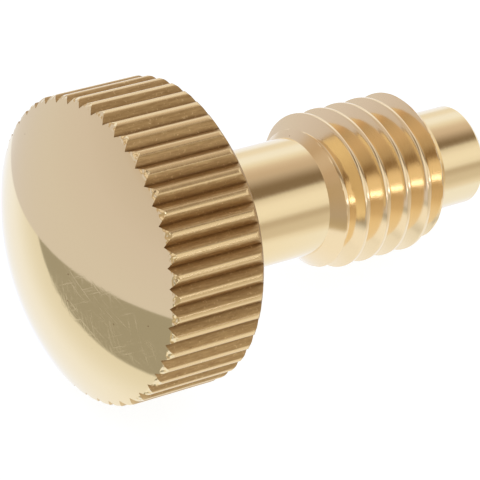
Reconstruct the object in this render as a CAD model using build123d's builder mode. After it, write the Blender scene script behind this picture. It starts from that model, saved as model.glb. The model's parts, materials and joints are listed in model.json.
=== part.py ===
from build123d import *
import os
from math import asin, atan2, ceil, cos, radians, sin, tan

# A brass thumb screw turned from one bar: domed head with a straight knurl, reduced neck,
# coarse right-hand thread and dog point. It lies on a surface as a dropped screw comes to rest.
# Sizes are in millimetres. +X runs towards the point, +Z is up and the surface is at Z = 0.

# Head: the dome and the knurled rim
head_diameter = 9.5
dome_height = 1.46
knurl_length = 3.0
front_bevel = 0.1
back_bevel_length = 0.35
back_bevel_depth = 0.45

# Straight knurl: V grooves with rounded crests between them
tooth_count = 46
groove_depth = 0.22
groove_angle = 90
crest_round = 0.2
crest_round_limit_share = 0.9

# Neck, thinner than the thread's root so that the screw can hang captive in a panel
neck_diameter = 3.72
neck_length = 4.28
neck_fillet = 0.2

# Thread, an M5 coarse thread just under its nominal size
thread_diameter = 4.97
thread_pitch = 0.8
thread_length = 4.41
thread_angle = 60
thread_crest_share = 1 / 8
thread_depth_share = 0.6134
last_crest_share = 0.354
lead_angle = 45

# Dog point, which finds the tapped hole
dog_diameter = 3.15
dog_length = 1.98
dog_bevel = 0.15

# How far cutting tools run past the metal
overrun = 0.05

# Radii, and places along the axis from the knurl's front corner towards the point
head_radius = head_diameter / 2
neck_radius = neck_diameter / 2
thread_radius = thread_diameter / 2
dog_radius = dog_diameter / 2
thread_depth = thread_depth_share * thread_pitch
root_radius = thread_radius - thread_depth

head_back = knurl_length + back_bevel_length
thread_start = head_back + neck_length
thread_end = thread_start + thread_length
lead_end = thread_start + (thread_radius - neck_radius) / tan(radians(lead_angle))
end_bevel_start = thread_end - thread_depth / tan(radians(lead_angle))
tip = thread_end + dog_length

# A crest's two corners are rounded, by less than the one round that would take in the whole crest
groove_half_angle = radians(groove_angle / 2)
groove_root = head_radius - groove_depth
flank_reach = groove_root * sin(groove_half_angle)
crest_middle_share = sin(groove_half_angle - radians(180 / tooth_count))
whole_crest_round = (flank_reach - crest_middle_share * head_radius) / (1 - crest_middle_share)
corner_round = min(crest_round, crest_round_limit_share * whole_crest_round)

# The lowest points at rest: the round sides of two knurl crests either side of a groove, and the
# last full thread crest on the underside. The axis tips down until both touch the surface.
round_centre = head_radius - corner_round
round_centre_angle = groove_half_angle - asin((flank_reach - corner_round) / round_centre)
knurl_contact_radius = round_centre * cos(round_centre_angle) + corner_round
last_crest = end_bevel_start - last_crest_share * thread_pitch
thread_contact = last_crest + thread_crest_share * thread_pitch / 2
tilt = atan2(knurl_contact_radius - thread_radius, thread_contact - knurl_length)

# The dome is part of a sphere whose edge is the inner edge of the front bevel
dome_edge_radius = head_radius - front_bevel
dome_rise = dome_height - front_bevel
dome_radius = (dome_edge_radius**2 + dome_rise**2) / (2 * dome_rise)

# The origin is under the middle of the part, halfway between the dome's foremost point and the tip
height = knurl_length * sin(tilt) + knurl_contact_radius * cos(tilt)
dome_reach = (dome_radius - dome_height) * cos(tilt) - dome_radius
tip_reach = tip * cos(tilt) + (dog_radius - dog_bevel) * sin(tilt)
axis_start = Vector(-(dome_reach + tip_reach) / 2, 0, height)
axis_direction = Vector(cos(tilt), 0, -sin(tilt))
up_direction = Vector(sin(tilt), 0, cos(tilt))
down_angle = 180

screw_axis = Axis(axis_start, axis_direction)
screw_plane = Plane(axis_start, x_dir=up_direction, z_dir=axis_direction)
profile_plane = Plane(axis_start, x_dir=axis_direction, z_dir=(0, -1, 0))
knurl_plane = screw_plane.offset(-dome_height)

# The knurl's section: a disc with the V grooves cut in and the crests' corners rounded
groove_reach = groove_depth + overrun
groove_spread = groove_reach * tan(groove_half_angle)
with BuildSketch(knurl_plane) as knurl_section:
    Circle(head_radius)
    with PolarLocations(groove_root, tooth_count, start_angle=down_angle):
        Polygon(
            (0, 0),
            (groove_reach, groove_spread),
            (groove_reach, -groove_spread),
            align=None,
            mode=Mode.SUBTRACT,
        )
    crest_corners = knurl_section.vertices().sort_by_distance((0, 0, 0))[-2 * tooth_count :]
    fillet(crest_corners, corner_round)

# The thread groove's section, from its flat root out past the crests
flank_slope = tan(radians(thread_angle / 2))
thread_groove_half = thread_pitch * (1 - thread_crest_share) / 2
thread_root_half = thread_groove_half - thread_depth * flank_slope
thread_tool_half = thread_groove_half + overrun * flank_slope

# The thread groove's path, one turn of the helix at a time, from the neck's space to the dog point's.
# Each turn starts on the upper side, where the groove lies at the same places as the crests below.
turns_before = ceil((last_crest - thread_start + thread_tool_half) / thread_pitch)
turns_after = ceil((thread_end - last_crest + thread_tool_half) / thread_pitch)
one_turn = Helix(thread_pitch, thread_pitch, thread_radius)
turn_starts = [last_crest + turn * thread_pitch for turn in range(-turns_before, turns_after)]
turn_paths = [screw_plane.offset(start).from_local_coords(one_turn) for start in turn_starts]

with BuildPart() as thumb_screw:
    # Turned outline, from the dome's middle to the point, with some metal over the knurl's crests
    with BuildSketch(profile_plane):
        with BuildLine():
            RadiusArc((-dome_height, 0), (-front_bevel, dome_edge_radius), dome_radius)
            Polyline(
                (-front_bevel, dome_edge_radius),
                (overrun, head_radius + overrun),
                (knurl_length - overrun * back_bevel_length / back_bevel_depth, head_radius + overrun),
                (head_back, head_radius - back_bevel_depth),
                (head_back, neck_radius + neck_fillet),
            )
            RadiusArc(
                (head_back, neck_radius + neck_fillet),
                (head_back + neck_fillet, neck_radius),
                -neck_fillet,
            )
            Polyline(
                (head_back + neck_fillet, neck_radius),
                (thread_start, neck_radius),
                (lead_end, thread_radius),
                (end_bevel_start, thread_radius),
                (thread_end, root_radius),
                (thread_end, dog_radius),
                (tip - dog_bevel, dog_radius),
                (tip, dog_radius - dog_bevel),
                (tip, 0),
                (-dome_height, 0),
            )
        make_face()
    revolve(axis=screw_axis)

    # Knurl, cut right through the head from the dome to the back
    with BuildSketch(knurl_plane):
        Circle(head_radius + 2 * overrun)
        add(knurl_section.sketch_local, mode=Mode.SUBTRACT)
    extrude(amount=dome_height + head_back + overrun, mode=Mode.SUBTRACT)

    # Thread groove, swept along the helix
    for turn_path in turn_paths:
        with BuildSketch(Plane(turn_path @ 0, x_dir=up_direction, z_dir=screw_plane.y_dir)):
            Polygon(
                (-thread_depth, -thread_root_half),
                (overrun, -thread_tool_half),
                (overrun, thread_tool_half),
                (-thread_depth, thread_root_half),
                align=None,
            )
        sweep(path=turn_path, is_frenet=True, mode=Mode.SUBTRACT)

thumb_screw.part.label = "thumb_screw"
os.makedirs("parts", exist_ok=True)
export_step(thumb_screw.part, "parts/thumb_screw.step")
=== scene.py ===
import json
from math import asin, atan2, ceil, cos, hypot, pi, radians, sin, sqrt, tan

import bmesh
import bpy
from mathutils import Matrix, Quaternion, Vector


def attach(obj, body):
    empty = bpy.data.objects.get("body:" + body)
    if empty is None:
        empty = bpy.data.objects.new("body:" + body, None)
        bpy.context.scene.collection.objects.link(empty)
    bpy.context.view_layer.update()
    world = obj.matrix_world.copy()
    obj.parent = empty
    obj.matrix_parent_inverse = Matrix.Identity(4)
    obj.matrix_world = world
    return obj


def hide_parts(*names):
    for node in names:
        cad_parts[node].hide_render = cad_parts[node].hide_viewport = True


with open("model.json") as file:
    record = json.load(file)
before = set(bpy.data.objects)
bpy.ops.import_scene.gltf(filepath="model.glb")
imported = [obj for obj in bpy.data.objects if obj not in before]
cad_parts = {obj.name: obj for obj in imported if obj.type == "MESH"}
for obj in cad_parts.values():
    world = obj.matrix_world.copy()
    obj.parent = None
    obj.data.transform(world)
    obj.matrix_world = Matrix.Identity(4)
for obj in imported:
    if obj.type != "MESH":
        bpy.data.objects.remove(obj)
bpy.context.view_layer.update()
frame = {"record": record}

# Knurled head: the thick end of the brass bar, turned to a low dome and knurled straight along its rim.
# The V grooves are rolled in before the front is faced, so they run out through the edge of the dome.
# Rolling leaves the teeth round on top. The dome is polished last, and a bevel breaks the back edge.
mm = 0.001
head_radius = 4.75 * mm
dome_height = 1.46 * mm
knurl_length = 3.0 * mm
front_bevel = 0.1 * mm
back_bevel_length = 0.35 * mm
back_bevel_depth = 0.45 * mm
neck_radius = 1.86 * mm
neck_fillet = 0.2 * mm
tooth_count = 46
groove_depth = 0.22 * mm
groove_half_angle = radians(45)
crest_round = 0.2 * mm
back_round = 0.2 * mm

head_back = knurl_length + back_bevel_length
seat_radius = head_radius - back_bevel_depth
fillet_radius = neck_radius + neck_fillet
groove_root = head_radius - groove_depth
dome_edge = head_radius - front_bevel
dome_rise = dome_height - front_bevel
dome_radius = (dome_edge**2 + dome_rise**2) / (2 * dome_rise)
dome_centre = dome_radius - dome_height
dome_turn = asin(dome_edge / dome_radius)
corner_round = front_bevel / (1 - sin(dome_turn))
corner_centre = corner_round * cos(dome_turn) - front_bevel
tooth_pitch = 2 * pi / tooth_count
round_centre = head_radius - crest_round
round_turn = asin((groove_root * sin(groove_half_angle) - crest_round) / round_centre)
round_angle = groove_half_angle - round_turn
back_turn = atan2(back_bevel_depth, back_bevel_length)
back_corner = knurl_length - back_round * tan(back_turn / 2)

# The screw's own axis, from the seat that the record states.
# Places along it are measured from the knurl's front corner.
mounts = {mount["name"]: mount for mount in frame["record"]["mounts"]}
axis_direction = Vector(mounts["head_seat"]["axis"]).normalized()
side_direction = Vector((0, 1, 0))
up_direction = axis_direction.cross(side_direction)
seat_middle = (fillet_radius + seat_radius) / 2
axis_start = Vector(mounts["head_seat"]["pos_m"]) - axis_direction * head_back - up_direction * seat_middle
axis_turn = Matrix((axis_direction, side_direction, up_direction)).transposed()
axis_frame = Matrix.Translation(axis_start) @ axis_turn.to_4x4()


def axis_point(along, radius, angle):
    """A point in the screw's own frame, with the angle counted right-handed from straight down."""
    return Vector((along, radius * sin(angle), -radius * cos(angle)))


def front_place(radius):
    """How far along the axis the head's front lies at a radius: the dome, then its rounded corner."""
    if radius > dome_edge:
        return corner_centre - sqrt(corner_round**2 - (radius - head_radius + corner_round) ** 2)
    return dome_centre - sqrt(dome_radius**2 - radius**2)


def back_place(radius):
    """How far along the axis the head's back edge lies at a radius: its rounded corner, then the bevel."""
    drop = head_radius - radius
    if drop < back_round * (1 - cos(back_turn)):
        return back_corner + sqrt(back_round**2 - (back_round - drop) ** 2)
    return knurl_length + drop * back_bevel_length / back_bevel_depth


def stitch(mesh, wide, narrow):
    """Fills the strip between two rows of vertices, each a list of (share across, vertex)."""
    faces = []
    i = 0
    j = 0
    while i < len(wide) - 1 or j < len(narrow) - 1:
        next_wide = wide[i + 1][0] if i < len(wide) - 1 else 2
        next_narrow = narrow[j + 1][0] if j < len(narrow) - 1 else 2
        if next_wide <= next_narrow:
            faces.append(mesh.faces.new((wide[i][1], wide[i + 1][1], narrow[j][1])))
            i += 1
        else:
            faces.append(mesh.faces.new((wide[i][1], narrow[j + 1][1], narrow[j][1])))
            j += 1
    return faces


# The section of a groove from its root to the middle of a crest, as (angle, radius): flank, round and land
round_steps = 6
flank_shares = (0.04, 0.5, 0.96)
round_swing = pi / 2 - round_turn
half_groove = []
for step in range(round_steps + 1):
    swing = round_angle - round_swing * (1 - step / round_steps)
    out = round_centre * cos(round_angle) + crest_round * cos(swing)
    aside = round_centre * sin(round_angle) + crest_round * sin(swing)
    if step == 0:
        for share in flank_shares:
            reach = groove_root + share * (out - groove_root)
            half_groove.append((atan2(share * aside, reach), hypot(share * aside, reach)))
    half_groove.append((atan2(aside, out), min(hypot(aside, out), head_radius)))
half_groove.append((tooth_pitch / 2, head_radius))
groove_section = [(-angle, radius) for angle, radius in reversed(half_groove)]
groove_section += [(0, groove_root), *half_groove]

# One tooth of the head, a wedge from the dome's middle to the seat, from crest to crest across a groove
seat_shares = (-1, -1 / 3, 1 / 3, 1)
dome_rows = 24
inner_dome_share = 0.93
inner_dome = inner_dome_share * head_radius
groove_end_shares = (-0.6, -0.2, 0.2, 0.6, 1.0)
front_levels = [inner_dome * row / dome_rows for row in range(dome_rows + 1)]
front_levels += [groove_root + share * front_bevel for share in groove_end_shares]
corner_steps = 7
for step in range(corner_steps + 1):
    corner_turn = dome_turn + (pi / 2 - dome_turn) * step / corner_steps
    front_levels.append(head_radius - corner_round * (1 - sin(corner_turn)))
straight_shares = (0.01, 0.35, 0.65, 0.99)
back_steps = 5
back_levels = [
    head_radius - back_round * (1 - cos(back_turn * step / back_steps)) for step in range(back_steps + 1)
]
bevel_shares = (0.4, 0.6, 0.8, 0.97)
seat_edge_shares = (0.03, 0.15)
seat_step_share = 0.25
back_levels += [head_radius - share * back_bevel_depth for share in bevel_shares]
seat_levels = [seat_radius - share * back_bevel_depth for share in seat_edge_shares]
seat_step = (1 - seat_step_share) * seat_radius + seat_step_share * fillet_radius

wedge = bmesh.new()
polished = wedge.faces.layers.bool.new("polished")
faced = wedge.faces.layers.bool.new("faced")
columns = []
for angle, rim in groove_section:
    front = front_place(rim)
    back = back_place(rim)
    outline = [(front_place(min(level, rim)), min(level, rim)) for level in front_levels]
    outline += [(front + (back - front) * part, rim) for part in straight_shares]
    outline += [(back_place(min(level, rim)), min(level, rim)) for level in back_levels]
    outline += [(head_back, level) for level in seat_levels]
    columns.append([wedge.verts.new(axis_point(along, radius, angle)) for along, radius in outline])
for left, right in zip(columns, columns[1:]):
    for row in range(len(left) - 1):
        face = wedge.faces.new((left[row], left[row + 1], right[row + 1], right[row]))
        face[polished] = row < len(front_levels) - 1
        face[faced] = row >= len(left) - len(seat_levels) - 1
wide_row = [(2 * angle / tooth_pitch, column[-1]) for (angle, rim), column in zip(groove_section, columns)]
for radius in (seat_step, fillet_radius):
    narrow_row = []
    for share in seat_shares:
        narrow_row.append((share, wedge.verts.new(axis_point(head_back, radius, share * tooth_pitch / 2))))
    for face in stitch(wedge, wide_row, narrow_row):
        face[faced] = True
    wide_row = narrow_row
weld = 0.00002 * mm
bmesh.ops.remove_doubles(wedge, verts=wedge.verts, dist=weld)
bmesh.ops.dissolve_degenerate(wedge, edges=wedge.edges, dist=weld)
wedge_mesh = bpy.data.meshes.new("knurled_head")
wedge.to_mesh(wedge_mesh)
wedge.free()
knurled_head = bpy.data.objects.new("knurled_head", wedge_mesh)
bpy.context.collection.objects.link(knurled_head)


def add_node(tree, kind, inputs=None, **settings):
    """Adds a node with its settings, and sets or links its inputs by name or number."""
    made = tree.nodes.new(kind)
    for name, value in settings.items():
        setattr(made, name, value)
    for name, value in (inputs or {}).items():
        if isinstance(value, bpy.types.NodeSocket):
            tree.links.new(value, made.inputs[name])
        else:
            made.inputs[name].default_value = value
    return made


def add_math(tree, operation, *values):
    """Adds a math node on sockets or numbers and gives its result."""
    return add_node(tree, "ShaderNodeMath", dict(enumerate(values)), operation=operation).outputs[0]


def new_group(name, kind, inputs, outputs):
    """A node group with named inputs and outputs, and its two end nodes."""
    group = bpy.data.node_groups.new(name, kind)
    for label, socket in inputs.items():
        group.interface.new_socket(label, in_out="INPUT", socket_type=socket)
    for label, socket in outputs.items():
        group.interface.new_socket(label, in_out="OUTPUT", socket_type=socket)
    return group, group.nodes.new("NodeGroupInput"), group.nodes.new("NodeGroupOutput")


# Shared by every finish: where a point lies along the screw, how far from its axis, and how far round it
places, places_in, places_out = new_group(
    "screw_places",
    "ShaderNodeTree",
    {"Object": "NodeSocketVector"},
    {
        "Own": "NodeSocketVector",
        "Along": "NodeSocketFloat",
        "Radius": "NodeSocketFloat",
        "Around": "NodeSocketFloat",
    },
)
own_frame = add_node(
    places,
    "ShaderNodeMapping",
    {"Vector": places_in.outputs["Object"], "Location": axis_start, "Rotation": axis_turn.to_euler()},
    vector_type="TEXTURE",
)
parted = add_node(places, "ShaderNodeSeparateXYZ", {"Vector": own_frame.outputs["Vector"]})
across = add_node(places, "ShaderNodeCombineXYZ", {"Y": parted.outputs["Y"], "Z": parted.outputs["Z"]})
from_axis = add_node(places, "ShaderNodeVectorMath", {0: across.outputs["Vector"]}, operation="LENGTH")
places.links.new(own_frame.outputs["Vector"], places_out.inputs["Own"])
places.links.new(parted.outputs["X"], places_out.inputs["Along"])
places.links.new(from_axis.outputs["Value"], places_out.inputs["Radius"])
places.links.new(
    add_math(places, "ARCTAN2", parted.outputs["Y"], parted.outputs["Z"]), places_out.inputs["Around"]
)

# Tool marks: fine uneven rings, one for each pass of the tool
marks, marks_in, marks_out = new_group(
    "tool_marks",
    "ShaderNodeTree",
    {"Place": "NodeSocketFloat", "Around": "NodeSocketFloat", "Feed": "NodeSocketFloat"},
    {"Rings": "NodeSocketFloat"},
)
passes = add_math(marks, "DIVIDE", marks_in.outputs["Place"], marks_in.outputs["Feed"])
ring_place = add_node(marks, "ShaderNodeCombineXYZ", {"X": passes, "Y": marks_in.outputs["Around"]})
ring_noise = add_node(
    marks,
    "ShaderNodeTexNoise",
    {"Vector": ring_place.outputs["Vector"], "Scale": 1.0, "Detail": 3.0, "Roughness": 0.6},
    noise_dimensions="2D",
)
marks.links.new(ring_noise.outputs["Fac"], marks_out.inputs["Rings"])

# Handling: fine scratches in three directions over one rubbed spot, and a few small pits
wear, wear_in, wear_out = new_group(
    "handling",
    "ShaderNodeTree",
    {
        "Own": "NodeSocketVector",
        "Rubbed spot": "NodeSocketVector",
        "Rubbed reach": "NodeSocketFloat",
        "Pit size": "NodeSocketFloat",
    },
    {"Scratches": "NodeSocketFloat", "Pits": "NodeSocketFloat"},
)
scratch_turns = (0.35, 1.1, 2.3)
scratch_size = Vector((1.2, 1.0, 0.065)) * mm
scratch_limits = (0.55, 0.7)
rubbed_shape = (1.0, 1.0, 2.4)
rubbed_fade = 0.8 * mm
scratch_masks = []
for turn in scratch_turns:
    laid = add_node(
        wear,
        "ShaderNodeMapping",
        {"Vector": wear_in.outputs["Own"], "Rotation": (turn, 0, 0), "Scale": scratch_size},
        vector_type="TEXTURE",
    )
    streaks = add_node(
        wear, "ShaderNodeTexNoise", {"Vector": laid.outputs["Vector"], "Scale": 1.0, "Detail": 2.0}
    )
    thin = add_node(
        wear,
        "ShaderNodeMapRange",
        {"Value": streaks.outputs["Fac"], "From Min": scratch_limits[0], "From Max": scratch_limits[1]},
    )
    scratch_masks.append(thin.outputs["Result"])
all_scratches = add_math(wear, "MAXIMUM", add_math(wear, "MAXIMUM", *scratch_masks[:2]), scratch_masks[2])
spot_offset = add_node(
    wear,
    "ShaderNodeVectorMath",
    {0: wear_in.outputs["Own"], 1: wear_in.outputs["Rubbed spot"]},
    operation="SUBTRACT",
)
spot_place = add_node(
    wear, "ShaderNodeVectorMath", {0: spot_offset.outputs["Vector"], 1: rubbed_shape}, operation="MULTIPLY"
)
from_spot = add_node(wear, "ShaderNodeVectorMath", {0: spot_place.outputs["Vector"]}, operation="LENGTH")
inside_spot = add_math(wear, "SUBTRACT", wear_in.outputs["Rubbed reach"], from_spot.outputs["Value"])
rubbed_mask = add_node(wear, "ShaderNodeMapRange", {"Value": inside_spot, "From Max": rubbed_fade})
spot_scratches = add_math(wear, "MULTIPLY", all_scratches, rubbed_mask.outputs["Result"])
wear.links.new(spot_scratches, wear_out.inputs["Scratches"])
pit_cells_per_metre = 2200.0
pit_rarity = 8.0
pit_cells = add_node(
    wear,
    "ShaderNodeTexVoronoi",
    {"Vector": wear_in.outputs["Own"], "Scale": pit_cells_per_metre},
    feature="F1",
)
pit_choice = add_node(wear, "ShaderNodeSeparateColor", {"Color": pit_cells.outputs["Color"]})
pit_reach = add_math(
    wear,
    "MULTIPLY",
    wear_in.outputs["Pit size"],
    add_math(wear, "POWER", pit_choice.outputs["Red"], pit_rarity),
)
pit_mask = add_math(wear, "LESS_THAN", pit_cells.outputs["Distance"], pit_reach)
wear.links.new(pit_mask, wear_out.inputs["Pits"])

brass_tone = (0.9, 0.725, 0.435, 1)
pit_tone = (0.55, 0.38, 0.2, 1)
scratch_roughness = 0.24
scratch_share = 4.0
least_rough_share = 0.75
ring_rough_share = 0.5
not_rubbed = ((0, 0, 0), 0)


def blend_tone(tree, mask, first, second):
    """Mixes two colours or sockets by a mask."""
    mix = add_node(tree, "ShaderNodeMix", {"Factor": mask}, data_type="RGBA")
    for socket, value in zip(mix.inputs[6:8], (first, second)):
        if isinstance(value, bpy.types.NodeSocket):
            tree.links.new(value, socket)
        else:
            socket.default_value = value
    return mix.outputs[2]


def brass_finish(
    name,
    feed,
    mark_depth,
    roughness,
    base_tone=brass_tone,
    mark_place="Along",
    pit_size=0.12,
    rubbed=not_rubbed,
):
    """A brass material with tool marks and pits of its own size, and scratches over a rubbed spot."""
    material = bpy.data.materials.new(name)
    material.use_nodes = True
    tree = material.node_tree
    shader = tree.nodes["Principled BSDF"]
    shader.inputs["Metallic"].default_value = 1.0
    where = add_node(tree, "ShaderNodeTexCoord")
    place = add_node(tree, "ShaderNodeGroup", {"Object": where.outputs["Object"]}, node_tree=places)
    rings = add_node(
        tree,
        "ShaderNodeGroup",
        {"Place": place.outputs[mark_place], "Around": place.outputs["Around"], "Feed": feed},
        node_tree=marks,
    )
    handled = add_node(
        tree,
        "ShaderNodeGroup",
        {
            "Own": place.outputs["Own"],
            "Rubbed spot": rubbed[0],
            "Rubbed reach": rubbed[1],
            "Pit size": pit_size,
        },
        node_tree=wear,
    )
    tone = blend_tone(tree, handled.outputs["Pits"], base_tone, pit_tone)
    tree.links.new(tone, shader.inputs["Base Color"])
    pitted = add_math(tree, "SUBTRACT", rings.outputs["Rings"], handled.outputs["Pits"])
    height = add_math(tree, "MULTIPLY_ADD", handled.outputs["Scratches"], -scratch_share, pitted)
    bump = add_node(tree, "ShaderNodeBump", {"Height": height, "Distance": mark_depth})
    tree.links.new(bump.outputs["Normal"], shader.inputs["Normal"])
    ring_rough = roughness * ring_rough_share
    least_rough = roughness * least_rough_share
    uneven = add_math(tree, "MULTIPLY_ADD", rings.outputs["Rings"], ring_rough, least_rough)
    rough = add_math(tree, "MULTIPLY_ADD", handled.outputs["Scratches"], scratch_roughness, uneven)
    tree.links.new(rough, shader.inputs["Roughness"])
    return material, place, rough


dome_rubbed = (Vector((-0.8, -2.7, -0.1)) * mm, 2.6 * mm)
polished_brass, polished_place = brass_finish(
    "polished_brass",
    feed=0.08 * mm,
    mark_depth=0.0002 * mm,
    roughness=0.05,
    mark_place="Radius",
    pit_size=0.09,
    rubbed=dome_rubbed,
)[:2]

# Facing the dome leaves a fine uneven burr where its edge meets the teeth
burr_inner = dome_edge - 0.04 * mm
burr_outer = dome_edge + 0.01 * mm
burr_low = -3.0 * mm
burr_high = -2.2 * mm
burr_cell = 0.14 * mm
burr_depth = 0.1 * mm
polished_tree = polished_brass.node_tree
polished_shader = polished_tree.nodes["Principled BSDF"]
at_edge = add_node(
    polished_tree,
    "ShaderNodeMapRange",
    {"Value": polished_place.outputs["Radius"], "From Min": burr_inner, "From Max": burr_outer},
).outputs["Result"]
polished_parts = add_node(polished_tree, "ShaderNodeSeparateXYZ", {"Vector": polished_place.outputs["Own"]})
burr_share = add_node(
    polished_tree,
    "ShaderNodeMapRange",
    {"Value": polished_parts.outputs["Z"], "From Min": burr_low, "From Max": burr_high},
).outputs["Result"]
burr_noise = add_node(
    polished_tree,
    "ShaderNodeTexNoise",
    {"Vector": polished_place.outputs["Own"], "Scale": 1 / burr_cell, "Detail": 0.0},
)
burr = add_node(
    polished_tree,
    "ShaderNodeBump",
    {
        "Height": add_math(
            polished_tree,
            "MULTIPLY",
            add_math(polished_tree, "SUBTRACT", burr_noise.outputs["Fac"], 0.5),
            add_math(polished_tree, "MULTIPLY", at_edge, burr_share),
        ),
        "Distance": burr_depth,
        "Normal": polished_shader.inputs["Normal"].links[0].from_socket,
    },
)
polished_tree.links.new(burr.outputs["Normal"], polished_shader.inputs["Normal"])
turned_brass = brass_finish("turned_brass", feed=0.05 * mm, mark_depth=0.0004 * mm, roughness=0.1)[0]

# The knurl's flanks are dull and brown from the rolling, and the crests stay bright. The fronts of the
# lower teeth get the crest's bright tone and lower roughness too, as a painted sheen where the floor's
# light falls on them.
crest_band = (head_radius - 0.026 * mm, head_radius - 0.003 * mm)
front_reach = 0.3 * mm
painted_sheen_share = 0.7
lower_teeth = (-1.6 * mm, -3.0 * mm)
grain_size = Vector((0.4, 0.06, 0.06)) * mm
speck_cell = 0.07 * mm
speck_limits = (0.62, 0.9)
crest_tone = (0.83, 0.62, 0.335, 1)
dark_grain_tone = (0.3, 0.165, 0.06, 1)
light_grain_tone = (0.68, 0.47, 0.22, 1)
# Painted shade: the flanks are darkened towards the groove roots
root_band = (groove_root + 0.07 * mm, groove_root + 0.01 * mm)
root_shade_share = 0.5
root_shade_tone = (0.23, 0.13, 0.055, 1)
dull_roughness = 0.22
knurled_brass, knurl_place, knurl_rough = brass_finish(
    "knurled_brass", feed=0.12 * mm, mark_depth=0.0008 * mm, roughness=0.24
)
knurl_tree = knurled_brass.node_tree
knurl_shader = knurl_tree.nodes["Principled BSDF"]
raised = add_node(
    knurl_tree,
    "ShaderNodeMapRange",
    {"Value": knurl_place.outputs["Radius"], "From Min": crest_band[0], "From Max": crest_band[1]},
    interpolation_type="SMOOTHSTEP",
).outputs["Result"]
knurl_parts = add_node(knurl_tree, "ShaderNodeSeparateXYZ", {"Vector": knurl_place.outputs["Own"]})
# Painted sheen: the fronts of the teeth on the lower side are given the bright crest tone
painted_front_sheen = add_node(
    knurl_tree,
    "ShaderNodeMapRange",
    {
        "Value": knurl_parts.outputs["X"],
        "From Min": front_reach,
        "From Max": 0.0,
        "To Max": painted_sheen_share,
    },
).outputs["Result"]
painted_sheen_below = add_node(
    knurl_tree,
    "ShaderNodeMapRange",
    {"Value": knurl_parts.outputs["Z"], "From Min": lower_teeth[0], "From Max": lower_teeth[1]},
).outputs["Result"]
# Bright on the crests, and on the painted sheen over the lower teeth's fronts
bright = add_math(knurl_tree, "MAXIMUM", raised, add_math(knurl_tree, "MULTIPLY", painted_front_sheen, painted_sheen_below))
flank_grain = add_node(
    knurl_tree,
    "ShaderNodeMapping",
    {"Vector": knurl_place.outputs["Own"], "Scale": grain_size},
    vector_type="TEXTURE",
)
grain = add_node(
    knurl_tree, "ShaderNodeTexNoise", {"Vector": flank_grain.outputs["Vector"], "Scale": 1.0, "Detail": 4.0}
)
speck_noise = add_node(
    knurl_tree,
    "ShaderNodeTexNoise",
    {"Vector": knurl_place.outputs["Own"], "Scale": 1 / speck_cell, "Detail": 1.0},
)
specks = add_node(
    knurl_tree,
    "ShaderNodeMapRange",
    {"Value": speck_noise.outputs["Fac"], "From Min": speck_limits[0], "From Max": speck_limits[1]},
).outputs["Result"]
dull_tone = blend_tone(knurl_tree, grain.outputs["Fac"], dark_grain_tone, light_grain_tone)
# Painted shade, darker towards the groove roots
root_shade_mask = add_node(
    knurl_tree,
    "ShaderNodeMapRange",
    {
        "Value": knurl_place.outputs["Radius"],
        "From Min": root_band[0],
        "From Max": root_band[1],
        "To Max": root_shade_share,
    },
).outputs["Result"]
root_shaded_tone = blend_tone(knurl_tree, root_shade_mask, dull_tone, root_shade_tone)
flank_tone = blend_tone(knurl_tree, specks, root_shaded_tone, crest_tone)
knurl_tone = blend_tone(knurl_tree, bright, flank_tone, crest_tone)
knurl_tree.links.new(knurl_tone, knurl_shader.inputs["Base Color"])
flank_rough = add_math(knurl_tree, "ADD", knurl_rough, dull_roughness)
dull_rough = add_math(knurl_tree, "MULTIPLY_ADD", bright, -dull_roughness, flank_rough)
knurl_tree.links.new(dull_rough, knurl_shader.inputs["Roughness"])
wedge_mesh.materials.append(knurled_brass)

# The wedge is repeated round the axis, once for each tooth
ring_tree, ring_in, ring_out = new_group(
    "knurl_ring",
    "GeometryNodeTree",
    {
        "Geometry": "NodeSocketGeometry",
        "Teeth": "NodeSocketInt",
        "Weld": "NodeSocketFloat",
        "Rim": "NodeSocketMaterial",
        "Dome": "NodeSocketMaterial",
        "Seat": "NodeSocketMaterial",
    },
    {"Geometry": "NodeSocketGeometry"},
)
tooth_points = add_node(ring_tree, "GeometryNodePoints", {"Count": ring_in.outputs["Teeth"]})
tooth_number = add_node(ring_tree, "GeometryNodeInputIndex").outputs["Index"]
tooth_turn = add_math(ring_tree, "DIVIDE", 2 * pi, ring_in.outputs["Teeth"])
tooth_angle = add_node(
    ring_tree, "ShaderNodeCombineXYZ", {"X": add_math(ring_tree, "MULTIPLY", tooth_number, tooth_turn)}
)
tooth_rotation = add_node(
    ring_tree, "FunctionNodeEulerToRotation", {"Euler": tooth_angle.outputs["Vector"]}
)
teeth = add_node(
    ring_tree,
    "GeometryNodeInstanceOnPoints",
    {
        "Points": tooth_points.outputs[0],
        "Instance": ring_in.outputs["Geometry"],
        "Rotation": tooth_rotation.outputs["Rotation"],
    },
)
real_teeth = add_node(ring_tree, "GeometryNodeRealizeInstances", {"Geometry": teeth.outputs["Instances"]})
whole_ring = add_node(
    ring_tree,
    "GeometryNodeMergeByDistance",
    {"Geometry": real_teeth.outputs["Geometry"], "Distance": ring_in.outputs["Weld"]},
)
finished_ring = add_node(
    ring_tree,
    "GeometryNodeSetMaterial",
    {"Geometry": whole_ring.outputs["Geometry"], "Material": ring_in.outputs["Rim"]},
)
for zone, finish in (("polished", "Dome"), ("faced", "Seat")):
    zone_faces = add_node(ring_tree, "GeometryNodeInputNamedAttribute", {"Name": zone}, data_type="BOOLEAN")
    finished_ring = add_node(
        ring_tree,
        "GeometryNodeSetMaterial",
        {
            "Geometry": finished_ring.outputs["Geometry"],
            "Selection": zone_faces.outputs["Attribute"],
            "Material": ring_in.outputs[finish],
        },
    )
ring_tree.links.new(finished_ring.outputs["Geometry"], ring_out.inputs["Geometry"])


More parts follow.
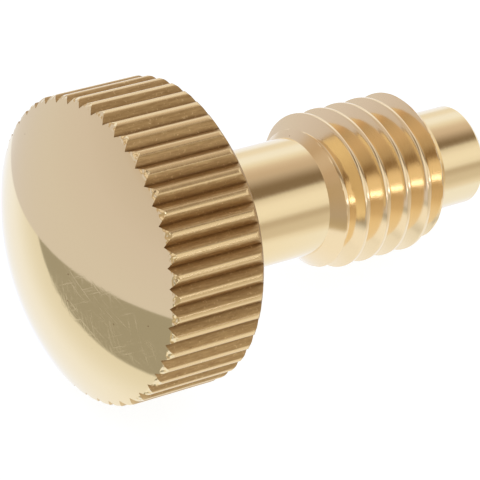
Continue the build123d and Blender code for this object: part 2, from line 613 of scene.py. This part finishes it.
def run_tree(piece, tree, values):
    """Runs a Geometry Nodes tree on a piece, and keeps the result as a plain mesh."""
    modifier = piece.modifiers.new(tree.name, "NODES")
    modifier.node_group = tree
    sockets = {item.name: item.identifier for item in tree.interface.items_tree if item.in_out == "INPUT"}
    for name, value in values.items():
        modifier[sockets[name]] = value
    bpy.context.view_layer.update()
    seen = piece.evaluated_get(bpy.context.evaluated_depsgraph_get())
    result = bpy.data.meshes.new_from_object(seen)
    for slot in reversed(range(len(result.materials))):
        if result.materials[slot] is None:
            result.materials.pop(index=slot)
    piece.modifiers.remove(modifier)
    piece.data = result


run_tree(
    knurled_head,
    ring_tree,
    {
        "Teeth": tooth_count,
        "Weld": weld,
        "Rim": knurled_brass,
        "Dome": polished_brass,
        "Seat": turned_brass,
    },
)

# Neck: turned below the thread's root, so that a tapped panel holds the screw captive there.
# A small fillet left by the tool's nose joins it to the head's seat.
neck_length = 4.28 * mm
thread_start = head_back + neck_length
shank_columns = 3 * tooth_count
fillet_steps = 6
neck_row_shares = (0.66, 0.33, 0.005, 0)


def turned_piece(name, outline, finish):
    """A round piece from its outline of (along, radius) points, with columns that meet the head's seat."""
    mesh = bmesh.new()
    rings = []
    for along, radius in outline:
        ring = []
        for column in range(shank_columns):
            angle = (column + 0.5) * 2 * pi / shank_columns
            ring.append(mesh.verts.new(axis_point(along, radius, angle)))
        rings.append(ring)
    for near, far in zip(rings, rings[1:]):
        for column in range(shank_columns):
            after = (column + 1) % shank_columns
            mesh.faces.new((near[column], far[column], far[after], near[after]))
    bmesh.ops.remove_doubles(mesh, verts=mesh.verts, dist=weld)
    data = bpy.data.meshes.new(name)
    mesh.to_mesh(data)
    mesh.free()
    data.materials.append(finish)
    piece = bpy.data.objects.new(name, data)
    bpy.context.collection.objects.link(piece)
    return piece


neck_outline = []
for step in range(fillet_steps + 1):
    angle = step / fillet_steps * pi / 2
    neck_outline.append(
        (head_back + neck_fillet * (1 - cos(angle)), fillet_radius - neck_fillet * sin(angle))
    )
neck_outline += [(thread_start - neck_length * share, neck_radius) for share in neck_row_shares]
neck = turned_piece("neck", neck_outline, turned_brass)

# Thread: an M5 coarse right-hand thread, cut into the same bar.
# Its groove runs out through a cone at the neck and a bevel at the dog point.
thread_radius = 2.485 * mm
thread_pitch = 0.8 * mm
thread_length = 4.41 * mm
flank_slope = tan(radians(30))
thread_depth_share = 0.6134
thread_depth = thread_depth_share * thread_pitch
crest_half_share = 1 / 16
crest_half = crest_half_share * thread_pitch
last_crest_share = 0.354
edge_round = 0.03 * mm
rows_per_turn = 48
thread_end = thread_start + thread_length
root_radius = thread_radius - thread_depth
end_bevel_start = thread_end - thread_depth
last_crest = end_bevel_start - last_crest_share * thread_pitch
thread_tone = (0.92, 0.735, 0.465, 1)
thread_brass = brass_finish(
    "thread_brass",
    feed=0.05 * mm,
    mark_depth=0.0004 * mm,
    roughness=0.15,
    base_tone=thread_tone,
    pit_size=0.1,
)[0]

helix_tree, helix_in, helix_out = new_group(
    "thread_helix",
    "GeometryNodeTree",
    {
        "Geometry": "NodeSocketGeometry",
        "Rows": "NodeSocketInt",
        "Columns": "NodeSocketInt",
        "First row": "NodeSocketFloat",
        "Last row": "NodeSocketFloat",
        "Pitch": "NodeSocketFloat",
        "Crest": "NodeSocketFloat",
        "Depth": "NodeSocketFloat",
        "Edge round": "NodeSocketFloat",
        "Weld": "NodeSocketFloat",
        "Finish": "NodeSocketMaterial",
    },
    {"Geometry": "NodeSocketGeometry"},
)
sizes = helix_in.outputs
row_reach = add_math(helix_tree, "SUBTRACT", sizes["Last row"], sizes["First row"])
row_middle = add_math(helix_tree, "MULTIPLY_ADD", row_reach, 0.5, sizes["First row"])
one_turn = 2 * pi
sheet = add_node(
    helix_tree,
    "GeometryNodeMeshGrid",
    {"Size X": row_reach, "Size Y": one_turn, "Vertices X": sizes["Rows"], "Vertices Y": sizes["Columns"]},
)
flat_place = add_node(
    helix_tree,
    "ShaderNodeSeparateXYZ",
    {"Vector": add_node(helix_tree, "GeometryNodeInputPosition").outputs["Position"]},
)
column_offset = pi + pi / shank_columns
turn_angle = add_math(helix_tree, "ADD", flat_place.outputs["Y"], column_offset)
turns_round = add_math(helix_tree, "DIVIDE", turn_angle, one_turn)
climb = add_math(helix_tree, "MULTIPLY", turns_round, sizes["Pitch"])
flat_row = add_math(helix_tree, "ADD", flat_place.outputs["X"], row_middle)
row_place = add_math(helix_tree, "ADD", flat_row, climb)
along = add_math(
    helix_tree, "MAXIMUM", add_math(helix_tree, "MINIMUM", row_place, thread_end), thread_start
)
turns_off = add_math(
    helix_tree,
    "DIVIDE",
    add_math(helix_tree, "SUBTRACT", add_math(helix_tree, "SUBTRACT", along, last_crest), climb),
    sizes["Pitch"],
)
off_crest = add_math(
    helix_tree,
    "MULTIPLY",
    add_math(helix_tree, "ABSOLUTE", add_math(helix_tree, "WRAP", turns_off, 0.5, -0.5)),
    sizes["Pitch"],
)
flank_cut = add_math(
    helix_tree, "DIVIDE", add_math(helix_tree, "SUBTRACT", off_crest, crest_half), flank_slope
)
open_cut = add_math(helix_tree, "SMOOTH_MAX", flank_cut, 0.0, sizes["Edge round"])
cut = add_math(helix_tree, "SMOOTH_MIN", open_cut, sizes["Depth"], sizes["Edge round"])
cut_radius = add_math(helix_tree, "SUBTRACT", sizes["Crest"], cut)
lead_cone = add_math(
    helix_tree, "ADD", add_math(helix_tree, "SUBTRACT", along, thread_start), neck_radius
)
end_bevel = add_math(
    helix_tree, "ADD", add_math(helix_tree, "SUBTRACT", thread_end, along), root_radius
)
radius = add_math(
    helix_tree, "MINIMUM", cut_radius, add_math(helix_tree, "MINIMUM", lead_cone, end_bevel)
)
round_place = add_node(
    helix_tree,
    "ShaderNodeCombineXYZ",
    {
        "X": along,
        "Y": add_math(helix_tree, "MULTIPLY", radius, add_math(helix_tree, "SINE", turn_angle)),
        "Z": add_math(
            helix_tree,
            "MULTIPLY",
            radius,
            add_math(helix_tree, "MULTIPLY", add_math(helix_tree, "COSINE", turn_angle), -1.0),
        ),
    },
)
rolled = add_node(
    helix_tree,
    "GeometryNodeSetPosition",
    {"Geometry": sheet.outputs["Mesh"], "Position": round_place.outputs["Vector"]},
)
whole_thread = add_node(
    helix_tree,
    "GeometryNodeMergeByDistance",
    {"Geometry": rolled.outputs["Geometry"], "Distance": sizes["Weld"]},
)
real_thread = add_node(
    helix_tree, "GeometryNodeRealizeInstances", {"Geometry": whole_thread.outputs["Geometry"]}
)
thread_finish = add_node(
    helix_tree,
    "GeometryNodeSetMaterial",
    {"Geometry": real_thread.outputs["Geometry"], "Material": sizes["Finish"]},
)
helix_tree.links.new(thread_finish.outputs["Geometry"], helix_out.inputs["Geometry"])

row_step = thread_pitch / rows_per_turn
rows_before = ceil((last_crest - thread_start) / row_step) + rows_per_turn + 1
rows_after = ceil((thread_end - last_crest) / row_step)
thread = bpy.data.objects.new("thread", bpy.data.meshes.new("thread"))
thread.data.materials.append(thread_brass)
bpy.context.collection.objects.link(thread)
run_tree(
    thread,
    helix_tree,
    {
        "Rows": rows_before + rows_after + 1,
        "Columns": shank_columns + 1,
        "First row": last_crest - rows_before * row_step,
        "Last row": last_crest + rows_after * row_step,
        "Pitch": thread_pitch,
        "Crest": thread_radius,
        "Depth": thread_depth,
        "Edge round": edge_round,
        "Weld": weld,
        "Finish": thread_brass,
    },
)

# Dog point: a plain pin turned on the end of the bar past the thread, which finds the tapped hole.
# Its end is faced flat, with a small bevel.
dog_radius = 1.575 * mm
dog_length = 1.98 * mm
dog_bevel = 0.15 * mm
shoulder_row = 0.02 * mm
edge_share = 0.02
side_shares = (0.01, 0.5)
before_bevel_shares = (1.15, 1 + edge_share)
after_bevel_shares = (1 + edge_share, 1.2)
tip = thread_end + dog_length
dog_outline = [(thread_end, radius) for radius in (root_radius, root_radius - shoulder_row, dog_radius)]
dog_outline += [(thread_end + share * dog_length, dog_radius) for share in side_shares]
dog_outline += [(tip - dog_bevel * share, dog_radius) for share in before_bevel_shares]
dog_outline += [(tip - dog_bevel * (1 - edge_share), dog_radius - dog_bevel * edge_share)]
dog_outline += [(tip - dog_bevel * edge_share, dog_radius - dog_bevel * (1 - edge_share))]
dog_outline += [(tip, dog_radius - dog_bevel * share) for share in after_bevel_shares]
dog_outline += [(tip, dog_radius / 2), (tip, 0)]
dog_point = turned_piece("dog_point", dog_outline, turned_brass)

# The four turned stretches are one piece of metal: they are welded into one closed skin.
with bpy.context.temp_override(
    active_object=knurled_head, selected_editable_objects=[knurled_head, neck, thread, dog_point]
):
    bpy.ops.object.join()
screw = knurled_head
screw.name = "turned_brass_screw"
seam_weld = 5 * weld
sharp_turn = radians(35)
skin = bmesh.new()
skin.from_mesh(screw.data)
bmesh.ops.remove_doubles(skin, verts=skin.verts, dist=seam_weld)
bmesh.ops.dissolve_degenerate(skin, edges=skin.edges, dist=weld)
bmesh.ops.recalc_face_normals(skin, faces=skin.faces)
for face in skin.faces:
    face.smooth = True
for edge in skin.edges:
    edge.smooth = len(edge.link_faces) == 2 and edge.calc_face_angle() < sharp_turn
skin.to_mesh(screw.data)
skin.free()
screw.data.transform(axis_frame)
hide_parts("thumb_screw")
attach(screw, "root")

# Floor: a sheet of plain pale paper that the screw lies on, and that takes its shadow.
# It is lit to white where the camera looks at it.
floor_size = 2.0
paper_tone = (0.34, 0.4, 0.46, 1)
paper_white = (1, 1, 1, 1)
paper_glow = 0.86
floor_mesh = bpy.data.meshes.new("floor")
corner = floor_size / 2
floor_corners = [(-corner, -corner, 0), (corner, -corner, 0), (corner, corner, 0), (-corner, corner, 0)]
floor_mesh.from_pydata(floor_corners, [], [(0, 1, 2, 3)])
floor = bpy.data.objects.new("floor", floor_mesh)
bpy.context.collection.objects.link(floor)
floor_paper = bpy.data.materials.new("floor_paper")
floor_paper.use_nodes = True
paper_tree = floor_paper.node_tree
paper_shader = paper_tree.nodes["Principled BSDF"]
paper_shader.inputs["Base Color"].default_value = paper_tone
paper_shader.inputs["Roughness"].default_value = 1.0
paper_shader.inputs["Specular IOR Level"].default_value = 0.0
paper_shader.inputs["Emission Color"].default_value = paper_white
paper_light = add_node(paper_tree, "ShaderNodeLightPath")
seen_glow = add_math(paper_tree, "MULTIPLY", paper_light.outputs["Is Camera Ray"], paper_glow)
paper_tree.links.new(seen_glow, paper_shader.inputs["Emission Strength"])

# In the metal, only the floor close in front of the neck shows as such.
# Further off, the studio takes its place.
near_floor = Vector((-2.5, -7.0, 0)) * mm
near_reach = 8.0 * mm
near_full_share = 0.5
near_tone = (0.98, 0.99, 1.0, 1)
paper_place = add_node(paper_tree, "ShaderNodeTexCoord").outputs["Object"]
off_near = add_node(
    paper_tree, "ShaderNodeVectorMath", {0: paper_place, 1: near_floor}, operation="DISTANCE"
)
far_off = add_node(
    paper_tree,
    "ShaderNodeMapRange",
    {"Value": off_near.outputs["Value"], "From Min": near_full_share * near_reach, "From Max": near_reach},
).outputs["Result"]
near_glow = add_node(paper_tree, "ShaderNodeEmission", {"Color": near_tone})
let_through = add_node(paper_tree, "ShaderNodeBsdfTransparent")
mirrored_floor = add_node(
    paper_tree,
    "ShaderNodeMixShader",
    {0: far_off, 1: near_glow.outputs["Emission"], 2: let_through.outputs["BSDF"]},
)
seen_floor = add_node(
    paper_tree,
    "ShaderNodeMixShader",
    {
        0: paper_light.outputs["Is Glossy Ray"],
        1: paper_shader.outputs["BSDF"],
        2: mirrored_floor.outputs["Shader"],
    },
)
paper_tree.links.new(seen_floor.outputs["Shader"], paper_tree.nodes["Material Output"].inputs["Surface"])
floor_mesh.materials.append(floor_paper)

# Studio: what stands round the screw and shows in the metal, by direction.
# A white floor below, soft light at the right and behind, a pale wall at the left, and a dim front.
# A darker patch lies low at the left, above is softly lit, and one small bright light stands at the front.
world = bpy.data.worlds.new("studio")
bpy.context.scene.world = world
world.use_nodes = True
studio = world.node_tree
studio.nodes.clear()
gaze = add_node(studio, "ShaderNodeTexCoord").outputs["Generated"]
gaze_parts = add_node(studio, "ShaderNodeSeparateXYZ", {"Vector": gaze})
azimuth = add_math(
    studio,
    "DEGREES",
    add_math(
        studio,
        "ARCTAN2",
        gaze_parts.outputs["X"],
        add_math(studio, "MULTIPLY", gaze_parts.outputs["Y"], -1.0),
    ),
)
elevation = add_math(studio, "DEGREES", add_math(studio, "ARCSINE", gaze_parts.outputs["Z"]))


def warm(grey):
    """The colour of a grey in this studio: the darker, the warmer."""
    return grey**0.88, grey**1.06, grey**1.28


def ramp_by_elevation(stops):
    """Light by elevation, from a list of (degrees, colour)."""
    share = add_math(studio, "MULTIPLY_ADD", elevation, 1 / 180, 0.5)
    ramp = add_node(studio, "ShaderNodeValToRGB", {"Fac": share})
    line = ramp.color_ramp.elements
    for number, (degrees, colour) in enumerate(stops):
        stop = line[number] if number < 2 else line.new(1)
        stop.position = degrees / 180 + 0.5
        stop.color = (*colour, 1)
    return ramp.outputs["Color"]


def soft_step(value, low, high):
    """Rises smoothly from 0 to 1 between two values."""
    return add_node(
        studio,
        "ShaderNodeMapRange",
        {"Value": value, "From Min": low, "From Max": high},
        interpolation_type="SMOOTHSTEP",
    ).outputs["Result"]


def near(direction):
    """How near a look is to a direction: the cosine between them."""
    dot = add_node(studio, "ShaderNodeVectorMath", {0: gaze, 1: direction}, operation="DOT_PRODUCT")
    return dot.outputs["Value"]


def look(azimuth, elevation):
    """The direction at an azimuth and an elevation in degrees."""
    turn = radians(azimuth)
    rise = radians(elevation)
    return Vector((sin(turn) * cos(rise), -cos(turn) * cos(rise), sin(rise)))


floor_light = (0.97, 1.03, 1.16)
back_light = (0.99, 1.05, 1.2)
top_light = (0.85, 0.78, 0.72)
front_side = ramp_by_elevation(
    (
        (-90, floor_light), (-48, floor_light), (-35, warm(0.95)), (-20, (0.66, 0.58, 0.45)),
        (-8, (0.5, 0.43, 0.31)), (4, warm(0.44)), (30, (0.52, 0.42, 0.3)), (57, (0.5, 0.4, 0.28)),
        (70, top_light), (90, top_light),
    )
)
right_side = ramp_by_elevation(
    (
        (-90, floor_light), (-41, floor_light), (-31, warm(0.85)), (-21, warm(0.7)), (-11, warm(0.67)),
        (-3, warm(0.55)), (1, warm(0.55)), (8, warm(0.9)), (17, warm(0.97)), (25, warm(0.95)),
        (32, warm(0.78)), (35, warm(0.19)), (42, warm(0.2)), (48, (0.53, 0.5, 0.48)),
        (57, (0.61, 0.55, 0.5)), (70, top_light), (90, top_light),
    )
)
back_side = ramp_by_elevation(
    (
        (-90, back_light), (-15, back_light), (-6, warm(0.88)), (3, warm(0.92)), (12, back_light),
        (20, (1, 1.06, 1.2)), (28, warm(0.88)), (33, (0.75, 0.66, 0.62)), (39, (0.62, 0.52, 0.46)),
        (46, (0.54, 0.51, 0.5)), (53, (0.63, 0.58, 0.56)), (60, (0.74, 0.67, 0.63)),
        (72, top_light), (90, top_light),
    )
)
wall = ramp_by_elevation(
    (
        (-90, (0.73, 0.73, 0.82)), (-10, (0.73, 0.73, 0.81)), (10, (0.71, 0.69, 0.77)),
        (25, (0.66, 0.63, 0.68)), (38, (0.6, 0.5, 0.42)), (50, (0.55, 0.43, 0.32)),
        (66, top_light), (90, top_light),
    )
)
shade_tone = (0.4, 0.395, 0.365, 1)
wall_line = Vector((0.2007, 0.2115, 0.9566))
wall_height = -0.4212
wall_edge = 0.005
shade_middle = Vector((-0.8124, 0.0213, 0.5826))
shade_reach = 0.2393
shade_edge = 0.014
half_shade_width = 0.4
half_shade_tone = (0.85, 0.87, 0.88, 1)
shaded = soft_step(near(shade_middle), shade_reach - shade_edge, shade_reach + shade_edge)
beside_shade = soft_step(near(shade_middle), shade_reach - half_shade_width, shade_reach)
left_floor = blend_tone(studio, beside_shade, (*floor_light, 1), half_shade_tone)
left_low = blend_tone(studio, shaded, left_floor, shade_tone)
over_wall_line = soft_step(near(wall_line), wall_height - wall_edge, wall_height + wall_edge)
left_side = blend_tone(studio, over_wall_line, left_low, wall)
far_azimuth = add_math(
    studio, "DEGREES", add_math(studio, "ARCTAN2", gaze_parts.outputs["X"], gaze_parts.outputs["Y"])
)

# Where each side starts and where it is full, in degrees of azimuth, and the small light's place and size
right_range = (105, 75)
left_range = (20, -15)
front_middle = -31
front_range = (41, 27)
light_box = (4.0, 4.4, 5.6, 1)
light_box_place = look(28, 8)
light_box_range = (cos(radians(4.5)), cos(radians(2.5)))
from_front = add_math(studio, "ABSOLUTE", add_math(studio, "SUBTRACT", azimuth, front_middle))
whole_studio = blend_tone(studio, soft_step(azimuth, *right_range), back_side, right_side)
whole_studio = blend_tone(studio, soft_step(far_azimuth, *left_range), whole_studio, left_side)
whole_studio = blend_tone(studio, soft_step(from_front, *front_range), whole_studio, front_side)
in_box = soft_step(near(light_box_place), *light_box_range)
whole_studio = blend_tone(studio, in_box, whole_studio, light_box)
studio_light = add_node(studio, "ShaderNodeBackground", {"Color": whole_studio, "Strength": 1.0})
backdrop = add_node(studio, "ShaderNodeBackground", {"Color": paper_white, "Strength": 1.0})
world_path = add_node(studio, "ShaderNodeLightPath")
shown = add_node(
    studio,
    "ShaderNodeMixShader",
    {
        0: world_path.outputs["Is Camera Ray"],
        1: studio_light.outputs["Background"],
        2: backdrop.outputs["Background"],
    },
)
add_node(studio, "ShaderNodeOutputWorld", {"Surface": shown.outputs["Shader"]})

# Camera: a long lens from the left, above and in front of the head, as in the photograph.
camera_azimuth = radians(-33.278)
camera_elevation = radians(49.259)
camera_roll = radians(0.719)
camera_distance = 105.6 * mm
lens_length = 266.85
sensor_width = 36.0
nearest_seen = 10 * mm
camera_target = Vector((-2.147, -2.2326, 5.6184)) * mm
camera_back = Vector(
    (
        sin(camera_azimuth) * cos(camera_elevation),
        -cos(camera_azimuth) * cos(camera_elevation),
        sin(camera_elevation),
    )
)
camera_data = bpy.data.cameras.new("camera")
camera_data.lens = lens_length
camera_data.sensor_width = sensor_width
camera_data.clip_start = nearest_seen
camera = bpy.data.objects.new("camera", camera_data)
bpy.context.collection.objects.link(camera)
camera.rotation_mode = "QUATERNION"
camera.location = camera_target + camera_back * camera_distance
camera.rotation_quaternion = (-camera_back).to_track_quat("-Z", "Y") @ Quaternion((0, 0, 1), camera_roll)
bpy.context.scene.camera = camera
bpy.context.scene.view_settings.view_transform = "Standard"
